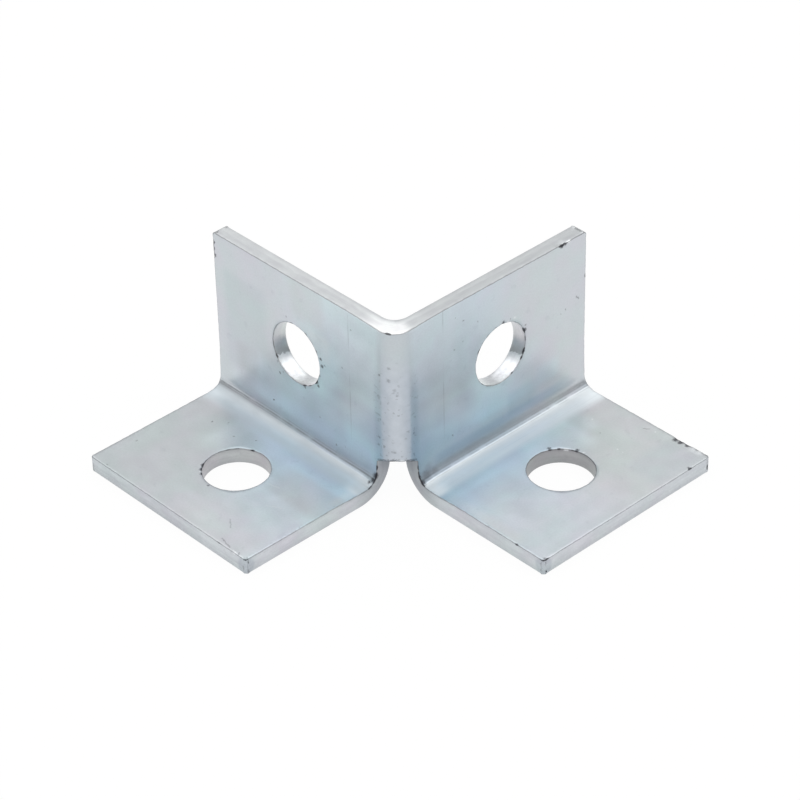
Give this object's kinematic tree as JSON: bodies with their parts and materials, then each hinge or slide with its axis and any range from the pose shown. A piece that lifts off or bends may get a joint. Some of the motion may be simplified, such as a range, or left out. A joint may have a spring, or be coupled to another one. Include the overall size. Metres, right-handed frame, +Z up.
{
  "type": "strut channel corner connector",
  "caption": "Folded steel corner bracket whose walls meet in an upright fold and turn out into foot flanges, each punched with a bolt hole, to join strut channels at a post corner.",
  "frame": {"origin": "centre of the overall box in plan, on the base plane under the flanges", "axes": "+Z up along the walls; +X and +Y run along the right and left wall, away from the fold, which faces -X and -Y"},
  "size_m": [0.0882, 0.0882, 0.0413],
  "materials": {
    "zinc_plated_steel": "satin electroplated zinc, pale grey with a cool blue cast, bare sheared edges"
  },
  "bodies": {
    "root": {"corner_connector": "zinc_plated_steel"}
  },
  "joints": []
}
